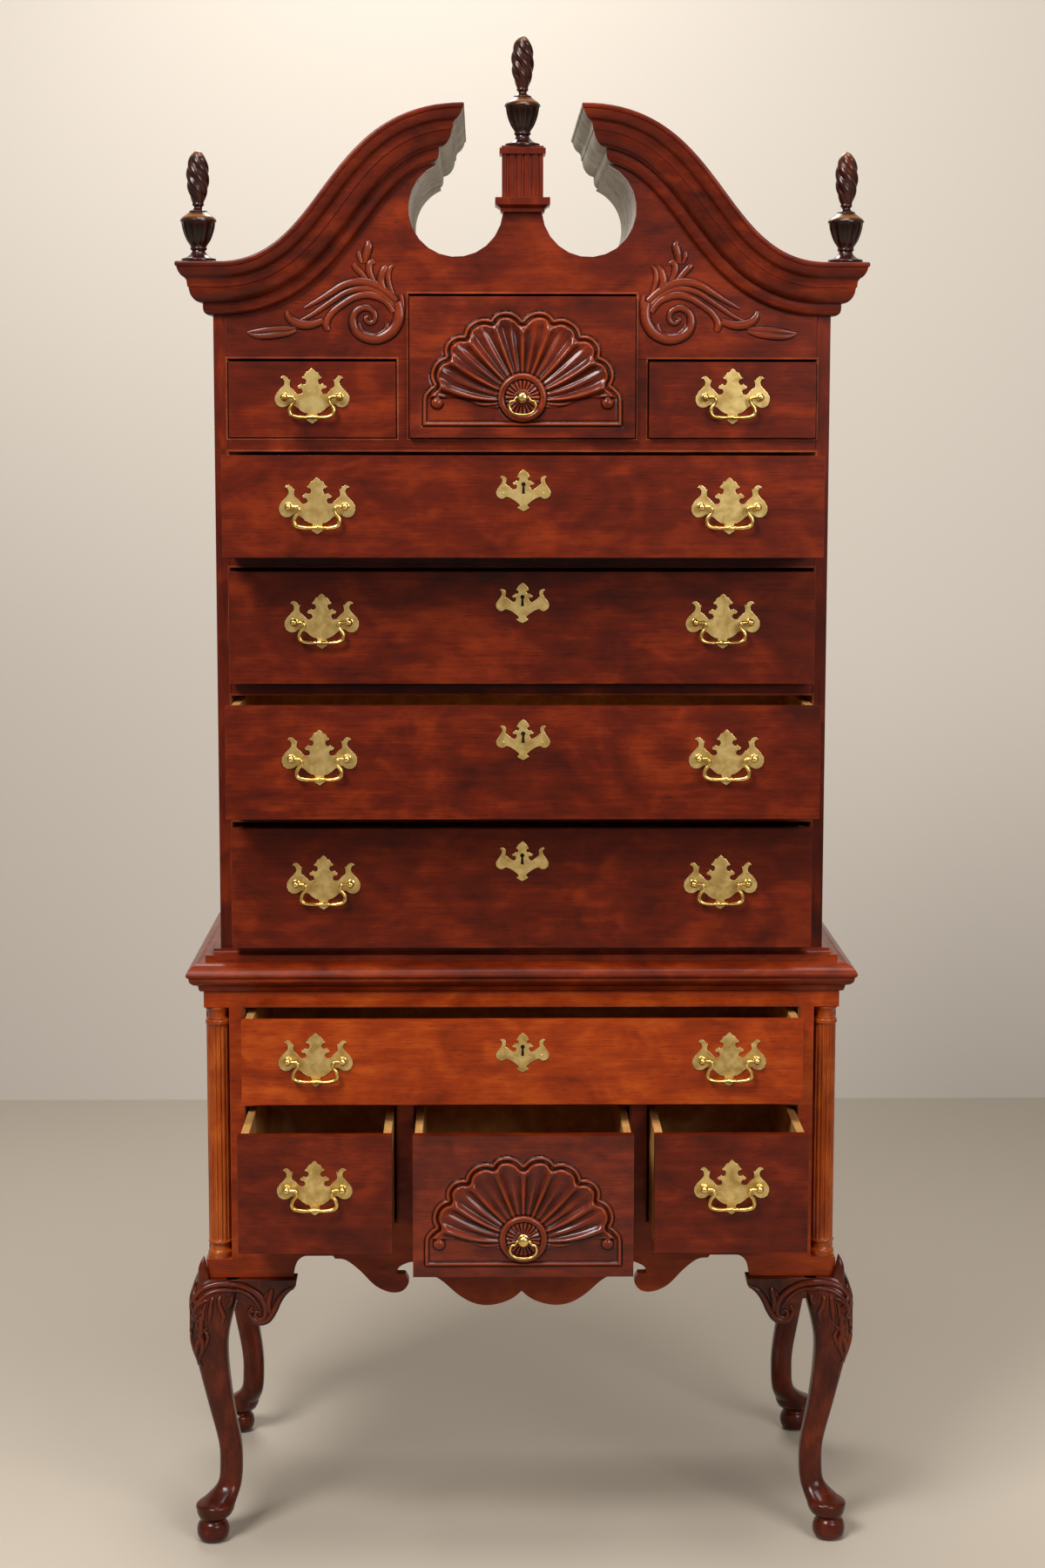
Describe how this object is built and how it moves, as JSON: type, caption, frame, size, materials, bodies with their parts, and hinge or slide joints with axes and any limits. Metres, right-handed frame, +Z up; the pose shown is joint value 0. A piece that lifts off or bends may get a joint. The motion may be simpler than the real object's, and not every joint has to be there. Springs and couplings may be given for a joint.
{
  "type": "highboy chest of drawers",
  "caption": "Tall two-part chest of drawers on cabriole legs with a broken swan-neck pediment, flame finials, shell-carved centre drawers and brass bail handles.",
  "frame": {"origin": "bottom centre of the bounding box, with the drawers at rest as pictured", "axes": "+Z up, +X to the viewer's right, -Y out of the front, where the drawers open"},
  "size_m": [1.0394, 0.7292, 2.3213],
  "materials": {
    "case_mahogany": "polished red-brown mahogany",
    "drawer_mahogany": "polished red-brown mahogany, pale unpolished sides inside",
    "carved_mahogany": "dark polished carved mahogany",
    "brass": "aged polished brass"
  },
  "bodies": {
    "case": {"upper_carcase": "case_mahogany", "upper_drawer_frame": "case_mahogany", "pediment_board": "case_mahogany", "cornice_left": "case_mahogany", "cornice_right": "case_mahogany", "pediment_plinth": "case_mahogany", "waist_moulding": "case_mahogany", "lower_carcase": "case_mahogany", "column_left": "case_mahogany", "column_right": "case_mahogany", "finial_center": "carved_mahogany", "finial_left": "carved_mahogany", "finial_right": "carved_mahogany", "leg_front_left": "carved_mahogany", "leg_back_left": "carved_mahogany", "leg_front_right": "carved_mahogany", "leg_back_right": "carved_mahogany"},
    "drawer_long_1": {"drawer_long_1": "drawer_mahogany", "plate_long_1_left": "brass", "plate_long_1_right": "brass"},
    "bail_long_1_left": {"bail_long_1_left": "brass"},
    "bail_long_1_right": {"bail_long_1_right": "brass"},
    "drawer_long_2": {"drawer_long_2": "drawer_mahogany", "plate_long_2_left": "brass", "plate_long_2_right": "brass"},
    "bail_long_2_left": {"bail_long_2_left": "brass"},
    "bail_long_2_right": {"bail_long_2_right": "brass"},
    "drawer_long_3": {"drawer_long_3": "drawer_mahogany", "plate_long_3_left": "brass", "plate_long_3_right": "brass"},
    "bail_long_3_left": {"bail_long_3_left": "brass"},
    "bail_long_3_right": {"bail_long_3_right": "brass"},
    "drawer_long_4": {"drawer_long_4": "drawer_mahogany", "plate_long_4_left": "brass", "plate_long_4_right": "brass"},
    "bail_long_4_left": {"bail_long_4_left": "brass"},
    "bail_long_4_right": {"bail_long_4_right": "brass"},
    "drawer_top_left": {"drawer_top_left": "drawer_mahogany", "plate_top_left": "brass"},
    "bail_top_left": {"bail_top_left": "brass"},
    "drawer_top_center": {"drawer_top_center": "drawer_mahogany", "pull_post_top_center": "brass"},
    "pull_ring_top_center": {"pull_ring_top_center": "brass"},
    "drawer_top_right": {"drawer_top_right": "drawer_mahogany", "plate_top_right": "brass"},
    "bail_top_right": {"bail_top_right": "brass"},
    "drawer_lower_long": {"drawer_lower_long": "drawer_mahogany", "plate_lower_long_left": "brass", "plate_lower_long_right": "brass"},
    "bail_lower_long_left": {"bail_lower_long_left": "brass"},
    "bail_lower_long_right": {"bail_lower_long_right": "brass"},
    "drawer_lower_left": {"drawer_lower_left": "drawer_mahogany", "plate_lower_left": "brass"},
    "bail_lower_left": {"bail_lower_left": "brass"},
    "drawer_lower_center": {"drawer_lower_center": "drawer_mahogany", "pull_post_lower_center": "brass"},
    "pull_ring_lower_center": {"pull_ring_lower_center": "brass"},
    "drawer_lower_right": {"drawer_lower_right": "drawer_mahogany", "plate_lower_right": "brass"},
    "bail_lower_right": {"bail_lower_right": "brass"}
  },
  "joints": [
    {"name": "long_1_slide", "type": "slide", "parent": "case", "child": "drawer_long_1", "axis": [0, -1, 0], "range_m": [-0.135, 0.165]},
    {"name": "bail_long_1_left_swing", "type": "hinge", "parent": "drawer_long_1", "child": "bail_long_1_left", "pos_m": [-0.303, -0.2907, 1.62625], "axis": [-1, 0, 0], "range_deg": [-10, 130]},
    {"name": "bail_long_1_right_swing", "type": "hinge", "parent": "drawer_long_1", "child": "bail_long_1_right", "pos_m": [0.303, -0.2907, 1.62625], "axis": [-1, 0, 0], "range_deg": [-10, 130]},
    {"name": "long_2_slide", "type": "slide", "parent": "case", "child": "drawer_long_2", "axis": [0, -1, 0], "range_m": [-0.039, 0.261]},
    {"name": "bail_long_2_left_swing", "type": "hinge", "parent": "drawer_long_2", "child": "bail_long_2_left", "pos_m": [-0.303, -0.1947, 1.45025], "axis": [-1, 0, 0], "range_deg": [-10, 130]},
    {"name": "bail_long_2_right_swing", "type": "hinge", "parent": "drawer_long_2", "child": "bail_long_2_right", "pos_m": [0.303, -0.1947, 1.45025], "axis": [-1, 0, 0], "range_deg": [-10, 130]},
    {"name": "long_3_slide", "type": "slide", "parent": "case", "child": "drawer_long_3", "axis": [0, -1, 0], "range_m": [-0.127, 0.173]},
    {"name": "bail_long_3_left_swing", "type": "hinge", "parent": "drawer_long_3", "child": "bail_long_3_left", "pos_m": [-0.303, -0.2827, 1.25325], "axis": [-1, 0, 0], "range_deg": [-10, 130]},
    {"name": "bail_long_3_right_swing", "type": "hinge", "parent": "drawer_long_3", "child": "bail_long_3_right", "pos_m": [0.303, -0.2827, 1.25325], "axis": [-1, 0, 0], "range_deg": [-10, 130]},
    {"name": "long_4_slide", "type": "slide", "parent": "case", "child": "drawer_long_4", "axis": [0, -1, 0], "range_m": [-0.044, 0.256]},
    {"name": "bail_long_4_left_swing", "type": "hinge", "parent": "drawer_long_4", "child": "bail_long_4_left", "pos_m": [-0.303, -0.1997, 1.05175], "axis": [-1, 0, 0], "range_deg": [-10, 130]},
    {"name": "bail_long_4_right_swing", "type": "hinge", "parent": "drawer_long_4", "child": "bail_long_4_right", "pos_m": [0.303, -0.1997, 1.05175], "axis": [-1, 0, 0], "range_deg": [-10, 130]},
    {"name": "top_left_slide", "type": "slide", "parent": "case", "child": "drawer_top_left", "axis": [0, -1, 0], "range_m": [-0.003, 0.297]},
    {"name": "bail_top_left_swing", "type": "hinge", "parent": "drawer_top_left", "child": "bail_top_left", "pos_m": [-0.317, -0.1587, 1.78725], "axis": [-1, 0, 0], "range_deg": [-10, 130]},
    {"name": "top_center_slide", "type": "slide", "parent": "case", "child": "drawer_top_center", "axis": [0, -1, 0], "range_m": [-0.012, 0.288]},
    {"name": "pull_ring_top_center_swing", "type": "hinge", "parent": "drawer_top_center", "child": "pull_ring_top_center", "pos_m": [0, -0.1711, 1.7865], "axis": [-1, 0, 0], "range_deg": [-10, 120]},
    {"name": "top_right_slide", "type": "slide", "parent": "case", "child": "drawer_top_right", "axis": [0, -1, 0], "range_m": [-0.01, 0.29]},
    {"name": "bail_top_right_swing", "type": "hinge", "parent": "drawer_top_right", "child": "bail_top_right", "pos_m": [0.317, -0.1657, 1.78725], "axis": [-1, 0, 0], "range_deg": [-10, 130]},
    {"name": "lower_long_slide", "type": "slide", "parent": "case", "child": "drawer_lower_long", "axis": [0, -1, 0], "range_m": [-0.083, 0.217]},
    {"name": "bail_lower_long_left_swing", "type": "hinge", "parent": "drawer_lower_long", "child": "bail_lower_long_left", "pos_m": [-0.3135, -0.2637, 0.79025], "axis": [-1, 0, 0], "range_deg": [-10, 130]},
    {"name": "bail_lower_long_right_swing", "type": "hinge", "parent": "drawer_lower_long", "child": "bail_lower_long_right", "pos_m": [0.3135, -0.2637, 0.79025], "axis": [-1, 0, 0], "range_deg": [-10, 130]},
    {"name": "lower_left_slide", "type": "slide", "parent": "case", "child": "drawer_lower_left", "axis": [0, -1, 0], "range_m": [-0.175, 0.145]},
    {"name": "bail_lower_left_swing", "type": "hinge", "parent": "drawer_lower_left", "child": "bail_lower_left", "pos_m": [-0.311, -0.3557, 0.61625], "axis": [-1, 0, 0], "range_deg": [-10, 130]},
    {"name": "lower_center_slide", "type": "slide", "parent": "case", "child": "drawer_lower_center", "axis": [0, -1, 0], "range_m": [-0.175, 0.145]},
    {"name": "pull_ring_lower_center_swing", "type": "hinge", "parent": "drawer_lower_center", "child": "pull_ring_lower_center", "pos_m": [0, -0.3591, 0.5388], "axis": [-1, 0, 0], "range_deg": [-10, 120]},
    {"name": "lower_right_slide", "type": "slide", "parent": "case", "child": "drawer_lower_right", "axis": [0, -1, 0], "range_m": [-0.175, 0.145]},
    {"name": "bail_lower_right_swing", "type": "hinge", "parent": "drawer_lower_right", "child": "bail_lower_right", "pos_m": [0.311, -0.3557, 0.61625], "axis": [-1, 0, 0], "range_deg": [-10, 130]}
  ]
}
